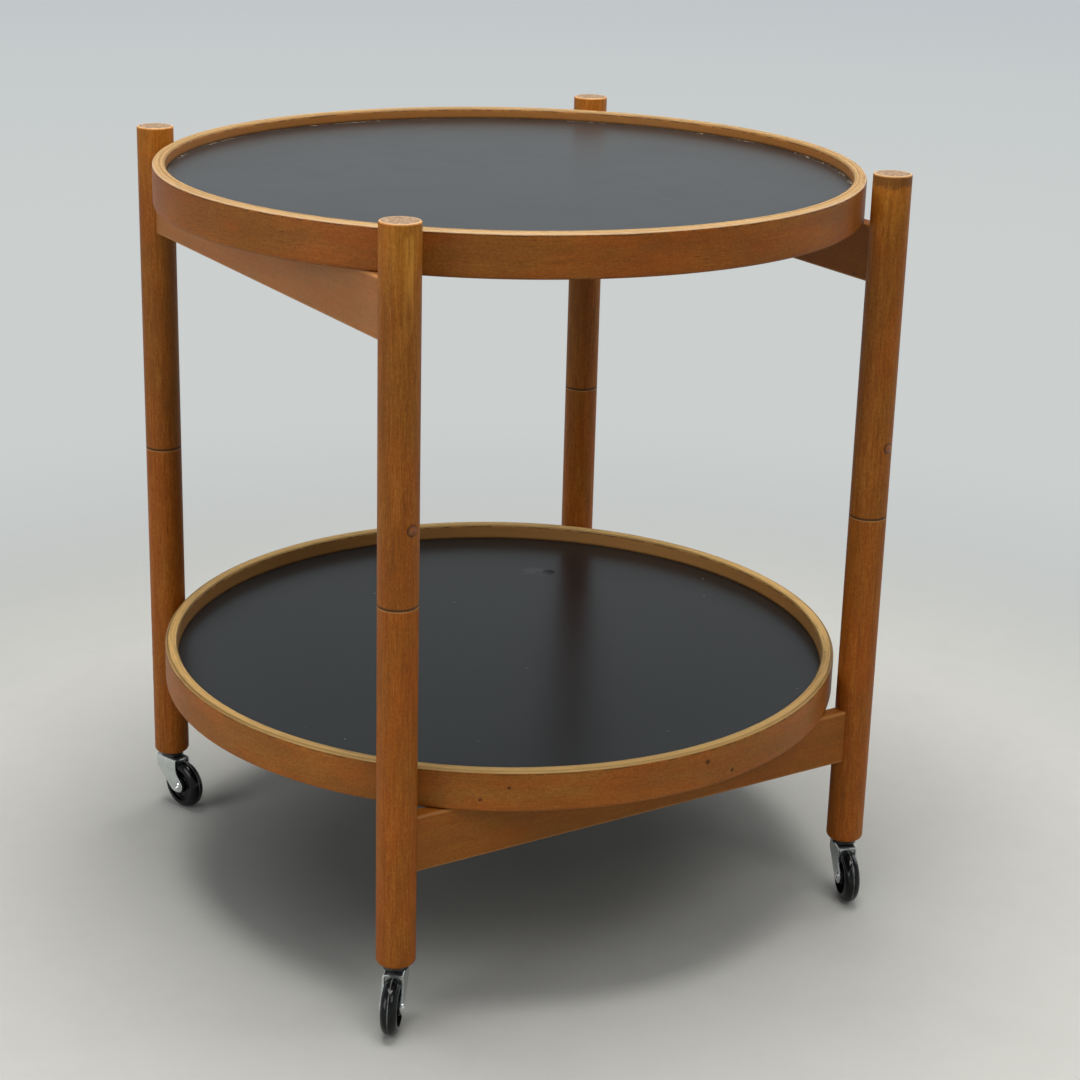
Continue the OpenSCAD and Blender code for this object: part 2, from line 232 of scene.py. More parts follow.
def make_beech_figure():
    """Stained beech. X of the vector runs along the grain, and Y and Z across it.

    Round a ring, X is the cosine and Turn the sine of the place along it, times the ring's radius.
    """
    tree, given, result = new_group(
        "beech_figure",
        {"Vector": ["Vector"], "Color": STAIN_INPUTS, "Float": ["Turn", "Seed"] + FIGURE_INPUTS},
        {"Color": ["Colour"], "Float": ["Height", "Roughness"]},
    )

    def grained(along, across, shift, **settings):
        """Noise with so many turns per metre along and across the grain, shifted to a part of its own."""
        w = plus(times(given["Turn"], along), plus(given["Seed"], shift))
        return noise(stretched(given["Vector"], (along, across, across)), w=w, **settings)

    streaks = minus(grained(24, 520, 0.0, detail=4, roughness=0.7, distortion=0.2), 0.5)
    bands = minus(grained(4, 75, 5.3, detail=2, distortion=0.5), 0.5)
    fine = minus(grained(60, 1500, 9.1, detail=2, roughness=0.6), 0.5)
    clouds = minus(grained(13, 34, 2.7, detail=5, roughness=0.65), 0.5)
    tone = plus(times(streaks, 1.1), times(bands, 0.45))
    tone = times(plus(tone, times(fine, 0.9)), given["Contrast"])
    tone = plus(plus(tone, 0.5), times(clouds, given["Clouds"]))
    pores = minus(grained(420, 650, 31.0, detail=3, roughness=0.7), 0.5)
    tone = plus(tone, times(pores, given["Speckle"]))
    low = calc("MULTIPLY", tone, 2.0, clamp=True)
    high = calc("MULTIPLY", minus(tone, 0.5), 2.0, clamp=True)
    colour = blend_colours(low, given["Dark"], given["Middle"])
    colour = blend_colours(high, colour, given["Pale"])
    warmth = ramp_between(grained(16, 50, 21.0, detail=3, roughness=0.6), 0.36, 0.64)
    hue = blend_colours(warmth, (0.92, 1.07, 1.15, 1), (1.09, 0.96, 0.85, 1))
    clouded = blend_colours(1.0, colour, hue, "MULTIPLY")
    colour = blend_colours(given["Clouds"], colour, clouded)
    dashes = ramp_between(grained(85, 950, 13.0, detail=1), 0.64, 0.74)
    colour = tinted(colour, dashes, times(given["Dashes"], 0.75), given["Dark"])
    glints = ramp_between(grained(330, 1500, 17.0, detail=1), 0.66, 0.76)
    colour = tinted(colour, glints, times(given["Dashes"], 0.55), given["Pale"])
    height = minus(times(fine, 0.5), times(dashes, 0.6))
    roughness = plus(0.50, times(streaks, 0.25))
    feed(result, {"Colour": colour, "Height": height, "Roughness": roughness})
    return tree


def make_knocks():
    """Small dents, dark specks and scuffs of a used piece."""
    tree, given, result = new_group(
        "knocks",
        {"Vector": ["Vector"], "Float": ["Amount", "Spacing"]},
        {"Float": ["Dents", "Specks", "Scuffs"]},
    )
    density = calc("DIVIDE", 1.0, given["Spacing"])
    wobble = place("ShaderNodeTexNoise", {"Vector": given["Vector"], "Scale": 260.0}).outputs["Color"]
    wobble = vector_calc("MULTIPLY", wobble, [3.5 * MM] * 3)
    vector = vector_calc("ADD", wobble, given["Vector"])

    def scattered(factor, channel, share, size):
        """Spots in a share of the cells of a pattern."""
        scale = times(density, factor)
        cells = place("ShaderNodeTexVoronoi", {"Vector": vector, "Scale": scale})
        pick = place("ShaderNodeSeparateColor", {0: cells.outputs["Color"]}).outputs[channel]
        chosen = ramp_between(pick, 1 - share, 1.01 - share)
        return times(ramp_between(cells.outputs["Distance"], size, size * 0.35), chosen)

    dents = scattered(factor=1.0, channel=0, share=0.45, size=0.07)
    close = scattered(factor=2.3, channel=1, share=0.20, size=0.075)
    wide = scattered(factor=1.1, channel=2, share=0.25, size=0.060)
    specks = calc("MAXIMUM", close, wide)
    rubbed = noise(given["Vector"], scale=60.0, detail=6, roughness=0.75)
    scuffs = ramp_between(rubbed, 0.58, 0.75)
    masks = {"Dents": dents, "Specks": specks, "Scuffs": scuffs}
    feed(result, {name: times(mask, given["Amount"]) for name, mask in masks.items()})
    return tree


SCRATCH_TURNS = (0.4, 1.9, 2.7)


def make_fine_scratches():
    """Hairline scratches in three directions, as a mask."""
    inputs = {"Vector": ["Vector"], "Float": ["Amount"]}
    tree, given, result = new_group("fine_scratches", inputs, {"Float": ["Mask"]})
    mask = None
    for turn in SCRATCH_TURNS:
        turned = stretched(given["Vector"], (1, 1, 1), turn=(0, 0, turn))
        fine = stretched(turned, (9, 1100, 60), shift=(turn, 0, 0))
        lines = noise(fine, detail=1, roughness=0.4, distortion=0.15)
        gate = ramp_between(noise(turned, scale=7.0, detail=2), 0.5, 0.62)
        lines = times(ramp_between(lines, 0.70, 0.76), gate)
        mask = lines if mask is None else calc("MAXIMUM", mask, lines)
    feed(result, {"Mask": times(mask, given["Amount"])})
    return tree


def make_dust():
    """Soft dust with a few light crumbs, as two masks."""
    tree, given, result = new_group(
        "dust",
        {"Vector": ["Vector"], "Float": ["Film", "Crumbs", "Spacing"]},
        {"Float": ["Film", "Bits"]},
    )
    film = ramp_between(noise(given["Vector"], scale=18.0, detail=6, roughness=0.7), 0.42, 0.8)
    density = calc("DIVIDE", 1.0, given["Spacing"])
    cells = place("ShaderNodeTexVoronoi", {"Vector": given["Vector"], "Scale": density})
    red, green, blue = place("ShaderNodeSeparateColor", {0: cells.outputs["Color"]}).outputs[:3]
    size = times(plus(0.3, blue), 0.055)
    bits = calc("LESS_THAN", cells.outputs["Distance"], size)
    bits = times(bits, times(calc("GREATER_THAN", green, 0.80), plus(0.3, red)))
    feed(result, {"Film": times(film, given["Film"]), "Bits": times(bits, given["Crumbs"])})
    return tree


BEECH_FIGURE = make_beech_figure()
KNOCKS = make_knocks()
SCRATCHES = make_fine_scratches()
DUST = make_dust()

# Strength of the grain, clouds, speckle and dashes in each kind of wooden piece
TURNED_FIGURE = (1.00, 0.55, 1.0, 1.0)
SAWN_FIGURE = (0.40, 0.5, 0.7, 0.6)
BENT_FIGURE = (0.45, 0.8, 1.1, 0.9)
BARE_FIGURE = (0.5, 0.4, 0.5, 0.5)
BARE_SEED = 4.0

# Tones of the wood. A stain is its dark, middle and pale tone.
STAIN = ((0.150, 0.043, 0.004, 1), (0.275, 0.082, 0.008, 1), (0.420, 0.160, 0.024, 1))
END_GRAIN_DARK = (0.16, 0.095, 0.052, 1)
END_GRAIN_PALE = (0.43, 0.29, 0.175, 1)
END_GRAIN_EDGE = (0.66, 0.42, 0.22, 1)
# Pale worn edges, and at a leg's joint also a painted highlight
WORN_EDGE_AND_HIGHLIGHT = (0.62, 0.34, 0.13, 1)
DULL_WAX = (0.50, 0.33, 0.20, 1)
# Golden figure on a leg, partly a painted highlight
GOLDEN_STREAK_AND_HIGHLIGHT = (0.50, 0.21, 0.035, 1)
SUN_BLEACH = (1.30, 1.42, 1.25, 1)
SMOKY_WAX = (0.055, 0.024, 0.008, 1)
# Grime and painted shade in the groove of a leg's joint
JOINT_GRIME_AND_SHADE = (0.070, 0.028, 0.008, 1)
PEG_SHADOW = (0.045, 0.016, 0.004, 1)
PEG_DARK = (0.18, 0.052, 0.010, 1)
PEG_PALE = (0.32, 0.100, 0.022, 1)
# Shade painted round the foot of a peg's dome
PEG_FOOT_SHADE = (0.060, 0.020, 0.005, 1)
GLUE_LINE = (0.28, 0.22, 0.16, 1)
ROUGH_VENEER = (0.50, 0.44, 0.36)
# Grime, and painted shade in the seam of a rim at its panel
GRIME_AND_SHADE = (0.030, 0.012, 0.004, 1)

# Tones of the black panels and of what lies on them
LAMINATE_DARK = (0.0100, 0.0116, 0.0130, 1)
LAMINATE_PALE = (0.0135, 0.0156, 0.0175, 1)
PANEL_DUST = (0.30, 0.29, 0.27, 1)
PANEL_HAIRLINE = (0.25, 0.25, 0.25, 1)
PANEL_CRUMB = (0.42, 0.43, 0.42, 1)
FINGER_GREASE = (0.40, 0.41, 0.42, 1)
# Painted shade with grime in the seam along a rim
SEAM_SHADE_AND_GRIME = (0.006, 0.005, 0.004, 1)
SEAM_GRIT = (0.34, 0.29, 0.20, 1)

# Tones of the casters
WHEEL_BLACK = (0.0035, 0.0035, 0.004, 1)
WHEEL_DUST = (0.30, 0.30, 0.29, 1)
WHEEL_SEAM_WEAR_AND_HIGHLIGHT = (0.32, 0.32, 0.31, 1)
WHEEL_CRUMB = (0.40, 0.40, 0.38, 1)
WHEEL_SCUFF = (0.35, 0.35, 0.35, 1)
PLATE_SPOT = (0.16, 0.14, 0.11, 1)
# Painted shade and dark reflection on the top of a fork
BLACK_PAINTED_SHADE = (0.012, 0.012, 0.012, 1)


def darker(colour, share):
    return [share * channel for channel in colour[:3]] + [1]


# Materials
def new_material(name):
    material = bpy.data.materials.new(name)
    material.use_nodes = True
    shader = material.node_tree.nodes["Principled BSDF"]
    where = material.node_tree.nodes.new("ShaderNodeTexCoord").outputs["Object"]
    return material, shader, where


def surfaced(shader, colour, roughness, specular=0.5, metallic=0.0):
    feed(shader, {"Base Color": colour, "Roughness": roughness})
    feed(shader, {"Specular IOR Level": specular, "Metallic": metallic})


def bumped(shader, height, strength, depth):
    bump = place("ShaderNodeBump", {"Height": height, "Strength": strength, "Distance": depth})
    feed(shader, {"Normal": bump.outputs[0]})


def wax(shader, figure, knocks, colour):
    """Ends a wooden material: thin wax, dark specks in its dents, and a dull bloom on its scuffs."""
    colour = tinted(colour, knocks["Specks"], 0.85, GRIME_AND_SHADE)
    colour = tinted(colour, knocks["Scuffs"], 0.05, DULL_WAX)
    roughness = plus(figure["Roughness"], times(knocks["Scuffs"], 0.12))
    surfaced(shader, colour, roughness, specular=0.16)
    height = minus(figure["Height"], times(knocks["Dents"], 3.0))
    bumped(shader, height, strength=0.35, depth=0.15 * MM)


def dark_marks(where, colour, marks):
    """Small knots and holes: each mark's place and its size."""
    if not marks:
        return colour
    ragged = times(noise(where, scale=600.0, detail=3), 2.0 * MM)
    for centre, size in marks:
        away = plus(vector_calc("DISTANCE", where, centre), ragged)
        mark = ramp_between(away, size + 1.0 * MM, 0.4 * size + 1.0 * MM)
        colour = tinted(colour, mark, 0.8, GRIME_AND_SHADE)
    return colour


def beech_colour(grain, seed, stain, figure, turn=0.0):
    """Figured beech, from a stain and the strengths of its figure."""
    inputs = {"Vector": grain, "Turn": turn, "Seed": seed}
    inputs.update(zip(STAIN_INPUTS + FIGURE_INPUTS, stain + figure))
    return use_group(BEECH_FIGURE, inputs)


def end_grain(local, seed):
    """Mottled end of a leg, with growth rings about a heart outside the leg."""
    x, y = split(local)[:2]
    wobble = times(noise(local, scale=60.0, detail=2), 4 * MM)
    from_heart = radius_of(plus(x, 0.055), plus(y, 0.02 + 0.004 * seed))
    rings = calc("SINE", times(plus(from_heart, wobble), 2600.0))
    mottled = ramp_between(noise(local, scale=420.0, detail=4, roughness=0.7), 0.38, 0.66)
    colour = blend_colours(mottled, END_GRAIN_DARK, END_GRAIN_PALE)
    return tinted(colour, ramp_between(rings, 0.2, 0.9), 0.3, END_GRAIN_DARK)


def golden_streak_and_highlight(colour, local, streak):
    """A golden band up one side of a leg, wood figure and partly a painted highlight: its bearing in
    degrees, its lower end and its upper end.
    """
    bearing, low, high = streak
    x, y, z = split(local)
    angle = math.radians(bearing)
    facing = plus(times(x, math.cos(angle) / LEG_RADIUS), times(y, math.sin(angle) / LEG_RADIUS))
    band = times(ramp_between(facing, 0.955, 0.995), ramp_between(z, low, low + 25 * MM))
    band = times(band, ramp_between(z, high, high - 8 * MM))
    flame = ramp_between(noise(stretched(local, (260, 260, 22)), detail=3), 0.30, 0.62)
    return tinted(colour, band, times(flame, 0.75), GOLDEN_STREAK_AND_HIGHLIGHT)


def smoky_top(colour, local, depth):
    """Dark old wax on the upper end of a leg, down to a ragged depth."""
    smoky = noise(stretched(local, (90, 90, 60)), detail=5, roughness=0.7)
    ragged = times(minus(smoky, 0.5), 16 * MM)
    reach = plus(minus(split(local)[2], LEG_TOP - depth), ragged)
    return tinted(colour, ramp_between(reach, 0.0, 5 * MM), 0.6, SMOKY_WAX)


def from_peg_axis(x, y, z):
    """Distance from the axis of a leg's peg, with x and y measured from the leg's axis."""
    aside = plus(times(x, math.cos(PEG_TURN)), times(y, math.sin(PEG_TURN)))
    return radius_of(aside, minus(z, PEG_HEIGHT))


def peg_ring(colour, local, side):
    """The dark ring round a peg, at the front (-1) or the back (1) of a leg."""
    x, y, z = split(local)
    ring = ramp_between(from_peg_axis(x, y, z), PEG_RADIUS + 0.9 * MM, PEG_RADIUS + 0.3 * MM)
    on_side = calc("GREATER_THAN", times(y, side), 0.0)
    return tinted(colour, times(ring, on_side), 0.85, PEG_SHADOW)


def leg_end(colour, local, end_colour, end):
    """One end of a leg half, as turned_beech lists it."""
    height, inwards, worn, dark_line = end
    x, y, z = split(local)
    depth = times(minus(z, height), inwards)
    pale_edge_depth = plus(depth, times(noise(local, scale=130.0, detail=4), 1.6 * MM))
    # Pale edge: wear, and at the lower half's joint also a painted highlight
    colour = tinted(colour, ramp_between(pale_edge_depth, 2.6 * MM, 1.2 * MM), worn, WORN_EDGE_AND_HIGHLIGHT)
    edge = ramp_between(radius_of(x, y), LEG_RADIUS - 2.4 * MM, LEG_RADIUS - 1.4 * MM)
    face = tinted(end_colour, edge, 0.65, END_GRAIN_EDGE)
    colour = blend_colours(ramp_between(depth, 0.35 * MM, 0.1 * MM), colour, face)
    # Dark line: grime, and at the joint also painted shade in the groove
    if dark_line:
        colour = tinted(colour, ramp_between(depth, dark_line, 0.6 * dark_line), 0.85, JOINT_GRIME_AND_SHADE)
    return colour


def turned_beech(name, centre, seed, stain, ends, streak=None, smoky_depth=0.0, peg_side=0):
    """A turned leg half: grain up the leg, paler near its top, with end grain on its ends.

    ends lists each end's height, the direction that goes into the wood from it, how far its edge is
    worn pale, and how wide a dark line it has. At the leg's joint the dark lines are grime and painted
    shade in the groove, and the lower half's pale edge is partly a painted highlight.
    """
    material, shader, where = new_material(name)
    local = vector_calc("SUBTRACT", where, (centre.x, centre.y, 0))
    x, y, z = split(local)
    figure = beech_colour(join(z, x, y), seed, stain, TURNED_FIGURE)
    colour = figure["Colour"]
    if streak:
        colour = golden_streak_and_highlight(colour, local, streak)
    if smoky_depth:
        colour = smoky_top(colour, local, smoky_depth)
    ragged_height = plus(z, times(noise(local, scale=30.0), 40 * MM))
    bleached = ramp_between(ragged_height, *BLEACHED_FROM_TO)
    colour = blend_colours(bleached, colour, SUN_BLEACH, "MULTIPLY")
    if peg_side:
        colour = peg_ring(colour, local, peg_side)
    end_colour = end_grain(local, seed)
    for end in ends:
        colour = leg_end(colour, local, end_colour, end)
    knocks = use_group(KNOCKS, {"Vector": local, "Amount": 1.0, "Spacing": 0.045})
    wax(shader, figure, knocks, colour)
    return material


def sawn_beech(name, low, high, along, seed, stain, marks):
    """A rail: grain along it, arrises worn pale, and small dark marks."""
    material, shader, where = new_material(name)
    x, y, z = split(where)
    centre, half = (low + high) / 2, (high - low) / 2
    lengthways, across, middle, half_thick = x, y, centre.y, half.y
    if along == "Y":
        lengthways, across, middle, half_thick = y, x, centre.x, half.x
    figure = beech_colour(join(lengthways, across, z), seed, stain, SAWN_FIGURE)
    rough_edge = times(noise(where, scale=90.0, detail=4), 1.5 * MM)
    side = minus(calc("ABSOLUTE", minus(across, middle)), half_thick)
    up = minus(calc("ABSOLUTE", minus(z, centre.z)), half.z)
    worn = ramp_between(plus(plus(side, up), rough_edge), -1.9 * MM, -0.4 * MM)
    colour = tinted(figure["Colour"], worn, 0.28, WORN_EDGE_AND_HIGHLIGHT)
    colour = dark_marks(where, colour, marks)
    knocks = use_group(KNOCKS, {"Vector": where, "Amount": 1.0, "Spacing": 0.05})
    wax(shader, figure, knocks, colour)
    return material


def rim_edge_colour(grain, turn, radius, tones, dulled_and_shaded, seed):
    """Worn edge of the bent veneers, with layers and dark glue lines. On the upper rim its paler outside
    is partly a painted highlight.

    It is palest at the two sides; towards the front and the back it is darkened, as painted shade.
    """
    inner_tone, outer_tone = tones[:2]
    # The outside tone: on the upper rim paler, wear and partly a painted highlight on the rounded
    # shoulder
    at_outside = ramp_between(radius, TRAY_RADIUS - 2.2 * MM, TRAY_RADIUS - 1.0 * MM)
    tone = blend_colours(at_outside, inner_tone, outer_tone)
    layer = calc("DIVIDE", minus(TRAY_RADIUS, radius), RIM_THICKNESS / RIM_VENEERS)
    number = plus(calc("FLOOR", layer), seed)
    of_layer = place("ShaderNodeTexWhiteNoise", {"W": number}, noise_dimensions="1D").outputs["Value"]
    w = plus(times(turn, 45.0), seed)
    dashes = noise(stretched(grain, (45, 1500, 1)), detail=4, roughness=0.7, w=w)
    w = times(turn, 9.0)
    slow = noise(stretched(grain, (9, 160, 1)), detail=3, roughness=0.6, w=w)
    figure = plus(times(dashes, 0.55), times(slow, 0.5))
    smoothness = ramp_between(plus(times(of_layer, 0.35), figure), 0.45, 0.90)
    shade = blend_colours(smoothness, darker(ROUGH_VENEER, 1 - 0.6 * dulled_and_shaded), (1, 1, 1, 1))
    from_line = calc("ABSOLUTE", minus(calc("FRACT", layer), 0.5))
    line = times(ramp_between(from_line, 0.38, 0.47), ramp_between(slow, 0.42, 0.60))
    tone = blend_colours(1.0, tone, tinted(shade, line, 0.7, GLUE_LINE), "MULTIPLY")
    bearing = calc("ARCTAN2", turn, split(grain)[0])
    # Painted shade: the edge darkens towards the front and the back, away from the lit sides
    away_from_lit_side = calc("SINE", minus(bearing, math.radians(LIT_SIDE_AT)))
    painted_shade = times(away_from_lit_side, away_from_lit_side)
    return tinted(tone, painted_shade, dulled_and_shaded, darker(tones[0], 0.45))


def bent_beech(name, tray, stain, tones, dulled_and_shaded, marks, seed):
    """A tray rim: grain round it, golden worn edges above a dark arris, painted shade with some grime
    along its bottom edge, and grime and painted shade in the seam at the panel.

    tones are those of its edge at the inside and at the outside, and of its inner face.
    """
    material, shader, where = new_material(name)
    x, y, z = split(where)
    radius = radius_of(x, y)
    around = times(calc("DIVIDE", x, radius), TRAY_RADIUS)
    turn = times(calc("DIVIDE", y, radius), TRAY_RADIUS)
    grain = join(around, radius, z)
    figure = beech_colour(grain, seed, stain, BENT_FIGURE, turn)
    inside = ramp_between(radius, RIM_INSIDE + 3 * MM, RIM_INSIDE + 1 * MM)
    colour = tinted(figure["Colour"], inside, 0.6, tones[2])
    w = times(turn, 90.0)
    ragged = noise(stretched(grain, (90, 500, 1)), detail=4, roughness=0.65, w=w)
    ragged = times(ragged, 1.4 * MM)
    low, high = bottom_of(tray + "_rim"), top_of(tray + "_rim")
    depth = minus(high, plus(z, ragged))
    arris = ramp_between(depth, 2.6 * MM, 1.4 * MM)
    arris = times(arris, ramp_between(ragged, 0.55 * MM, 0.8 * MM))
    colour = tinted(colour, arris, 0.8, darker(stain[0], 0.4))
    edge = rim_edge_colour(grain, turn, radius, tones, dulled_and_shaded, seed)
    colour = blend_colours(ramp_between(depth, 1.3 * MM, 0.7 * MM), colour, edge)
    # Painted shade, with some grime, along the bottom edge of the outer face
    under = ramp_between(minus(plus(z, ragged), low), 2.2 * MM, 0.8 * MM)
    colour = tinted(colour, under, 0.6, darker(stain[0], 0.5))
    # Grime and painted shade in the corner above the panel
    above_panel = calc("ABSOLUTE", minus(z, top_of(tray + "_top_laminate")))
    seam = times(ramp_between(plus(above_panel, ragged), 3.6 * MM, 1.0 * MM), inside)
    colour = tinted(colour, seam, 0.8, GRIME_AND_SHADE)
    colour = dark_marks(where, colour, marks)
    knocks = use_group(KNOCKS, {"Vector": where, "Amount": 1.0, "Spacing": 0.04})
    wax(shader, figure, knocks, colour)
    return material


def finger_marked(where, colour, roughness, marks):
    """Finger marks: each one's place, its size, and how pale and how dull it is."""
    if not marks:
        return colour, roughness
    smeared = ramp_between(noise(where, scale=55.0, detail=6, roughness=0.7), 0.42, 0.56)
    for centre, size, paleness, dullness in marks:
        away = vector_calc("DISTANCE", where, centre)
        mark = times(ramp_between(away, size, 0.5 * size), smeared)
        colour = tinted(colour, mark, paleness, FINGER_GREASE)
        roughness = plus(roughness, times(mark, dullness))
    return colour, roughness


def seam_crumbs(where, radius, amount):
    """Grit that has gathered along the rim, as a mask."""
    strip = ramp_between(radius, RIM_INSIDE - 4.5 * MM, RIM_INSIDE - 2.0 * MM)
    grit = ramp_between(noise(where, scale=330.0, detail=4, roughness=0.8), 0.55, 0.60)
    gathered = ramp_between(noise(where, scale=26.0, detail=3), 0.36, 0.52)
    return times(times(strip, grit), times(gathered, amount))


def black_laminate(name, grit, marks=()):
    """Satin black laminate with hairlines, smears and crumbs, and a dark seam along the rim: painted
    shade with grime and grit.
    """
    material, shader, where = new_material(name)
    radius = radius_of(*split(where)[:2])
    scratches = use_group(SCRATCHES, {"Vector": where, "Amount": 0.5})
    dust = use_group(DUST, {"Vector": where, "Film": 1.0, "Crumbs": 1.0, "Spacing": 0.019})
    smears = noise(where, scale=5.0, detail=5, roughness=0.6, distortion=0.8)
    colour = blend_colours(smears, LAMINATE_DARK, LAMINATE_PALE)
    colour = tinted(colour, dust["Film"], 0.012, PANEL_DUST)
    colour = tinted(colour, scratches["Mask"], 0.05, PANEL_HAIRLINE)
    colour = tinted(colour, dust["Bits"], 0.65, PANEL_CRUMB)
    roughness = plus(0.27, times(smears, 0.03))
    colour, roughness = finger_marked(where, colour, roughness, marks)
    # Painted shade, with grime, in the seam along the rim
    seam = ramp_between(radius, RIM_INSIDE - 2.4 * MM, RIM_INSIDE - 1.2 * MM)
    colour = tinted(colour, seam, 0.85, SEAM_SHADE_AND_GRIME)
    crumbs = seam_crumbs(where, radius, grit)
    colour = blend_colours(crumbs, colour, SEAM_GRIT)
    roughness = plus(roughness, times(dust["Film"], 0.03))
    roughness = plus(roughness, times(scratches["Mask"], 0.1))
    roughness = plus(roughness, times(crumbs, 0.5))
    surfaced(shader, colour, roughness, specular=0.36)
    pebbled = noise(where, scale=1800.0, detail=2)
    height = plus(minus(pebbled, scratches["Mask"]), times(crumbs, 3.0))
    bumped(shader, height, strength=0.03, depth=0.05 * MM)
    return material


def bare_beech(name, dark, pale):
    """Unstained wood inside the table: panel cores and dowels."""
    material, shader, where = new_material(name)
    middle = [(a + b) / 2 for a, b in zip(dark, pale)]
    figure = beech_colour(where, BARE_SEED, (dark, middle, pale), BARE_FIGURE)
    surfaced(shader, figure["Colour"], plus(figure["Roughness"], 0.2))
    bumped(shader, figure["Height"], strength=0.3, depth=0.1 * MM)
    return material


def peg_wood():
    """Pegs whose domed end grain shows on the leg, with painted shade where the dome meets it."""
    material, shader, where = new_material("peg_wood")
    spots = noise(where, scale=900.0, detail=3, roughness=0.6)
    colour = blend_colours(ramp_between(spots, 0.35, 0.65), PEG_DARK, PEG_PALE)
    x, y, z = split(where)
    beside = minus(x, times(calc("SIGN", x), LEG_SPREAD))
    behind = minus(y, times(calc("SIGN", y), LEG_SPREAD))
    # Painted shade round the foot of the dome
    foot = ramp_between(from_peg_axis(beside, behind, z), PEG_RADIUS - 1.5 * MM, PEG_RADIUS - 0.3 * MM)
    colour = tinted(colour, foot, 0.7, PEG_FOOT_SHADE)
    surfaced(shader, colour, plus(0.22, times(spots, 0.2)), specular=0.32)
    bumped(shader, spots, strength=0.25, depth=0.1 * MM)
    return material


def plated_steel(name, base, rough, dullness, brushed=0.0, dark_above=None):
    """Zinc plate: slightly uneven, with fine scratches, dull spots and an upright brushed figure.

    Above a given height it is painted nearly black and less metallic: painted shade and a painted dark
    reflection on the fork's top under the leg.
    """
    material, shader, where = new_material(name)
    scratches = use_group(SCRATCHES, {"Vector": stretched(where, (6, 6, 6)), "Amount": 1.0})
    cloud = noise(where, scale=90.0, detail=3, roughness=0.55)
    lines = noise(stretched(where, (2600, 2600, 90)), detail=2)
    spots = ramp_between(noise(where, scale=500.0, detail=3), 0.68, 0.80)
    tones = plus(times(cloud, 1 - brushed), times(lines, brushed))
    colour = blend_colours(ramp_between(tones, 0.35, 0.7), base, darker(base, dullness))
    colour = tinted(colour, spots, 0.30, PLATE_SPOT)
    roughness = plus(rough, times(cloud, 0.06))
    roughness = plus(roughness, times(scratches["Mask"], 0.2))
    metallic = 1.0
    if dark_above:
        # Painted shade and dark reflection above the given height
        painted_dark = ramp_between(split(where)[2], dark_above, dark_above + 0.3 * MM)
        painted_dark = times(painted_dark, ramp_between(cloud, 0.20, 0.45))
        colour = tinted(colour, painted_dark, 0.97, BLACK_PAINTED_SHADE)
        metallic = minus(1.0, times(painted_dark, 0.9))
    surfaced(shader, colour, roughness, metallic=metallic)
    height = minus(times(lines, brushed), scratches["Mask"])
    bumped(shader, height, strength=0.04, depth=0.05 * MM)
    return material


def black_wheel(corner):
    """Glossy black polymer with dust near the floor, small scuffs, and a pale mould line, worn and partly
    a painted highlight.
    """
    material, shader, where = new_material("black_wheel_" + corner)
    spin = joint_of("wheel_spin_" + corner)
    out = vector_calc("SUBTRACT", where, spin["pos_m"])
    across = calc("ABSOLUTE", vector_calc("DOT_PRODUCT", out, spin["axis"]))
    from_centre = vector_calc("LENGTH", out)
    tread = ramp_between(from_centre, WHEEL_RADIUS - 0.5 * MM, WHEEL_RADIUS - 0.2 * MM)
    # Pale mould line: wear and partly a painted highlight
    seam = times(ramp_between(across, 0.55 * MM, 0.25 * MM), tread)
    seam = times(seam, ramp_between(noise(where, scale=150.0, detail=3), 0.30, 0.55))
    fine = stretched(where, (4, 4, 4))
    dust = use_group(DUST, {"Vector": fine, "Film": 1.0, "Crumbs": 0.6, "Spacing": 0.02})
    fine = stretched(where, (7, 7, 7))
    scratches = use_group(SCRATCHES, {"Vector": fine, "Amount": 1.0})
    near_floor = ramp_between(split(where)[2], 9 * MM, 1 * MM)
    film = plus(times(dust["Film"], 0.012), times(near_floor, 0.02))
    colour = blend_colours(film, WHEEL_BLACK, WHEEL_DUST)
    colour = tinted(colour, seam, 0.45, WHEEL_SEAM_WEAR_AND_HIGHLIGHT)
    colour = tinted(colour, dust["Bits"], 0.5, WHEEL_CRUMB)
    colour = tinted(colour, scratches["Mask"], 0.20, WHEEL_SCUFF)
    roughness = plus(0.12, times(dust["Film"], 0.08))
    roughness = plus(roughness, times(scratches["Mask"], 0.3))
    surfaced(shader, colour, roughness, specular=0.25)
    bumped(shader, times(scratches["Mask"], -1.0), strength=0.1, depth=0.05 * MM)
    return material


# Pieces made here in place of plain solids
def put_in_scene(name, data):
    made = bpy.data.objects.new(name, data)
    bpy.context.scene.collection.objects.link(made)
    return made


def mesh_made_by(holder):
    """The plain mesh that a holder's modifier makes. The holder is then thrown away."""
    evaluated = holder.evaluated_get(bpy.context.evaluated_depsgraph_get())
    mesh = bpy.data.meshes.new_from_object(evaluated)
    holder.modifiers.clear()
    bpy.data.objects.remove(holder)
    return mesh


def add_piece(name, mesh, material, body, node):
    """Puts a finished mesh in the scene in place of a node of the frame."""
    mesh.name = name
    mesh.materials.clear()
    mesh.materials.append(material)
    piece = put_in_scene(name, mesh)
    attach(piece, body)
    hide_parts(node)
    return piece


def smooth(mesh, sharp_above):
    """Shades a mesh smooth, with its edges sharp where faces meet at more than an angle in degrees."""
    mesh.polygons.foreach_set("use_smooth", [True] * len(mesh.polygons))
    mesh.set_sharp_from_angle(angle=math.radians(sharp_above))
    return mesh


def facing_outwards(mesh):
    shape = bmesh.new()
    shape.from_mesh(mesh)
    bmesh.ops.remove_doubles(shape, verts=shape.verts, dist=WELD)
    bmesh.ops.recalc_face_normals(shape, faces=shape.faces)
    shape.to_mesh(mesh)
    shape.free()
    return mesh


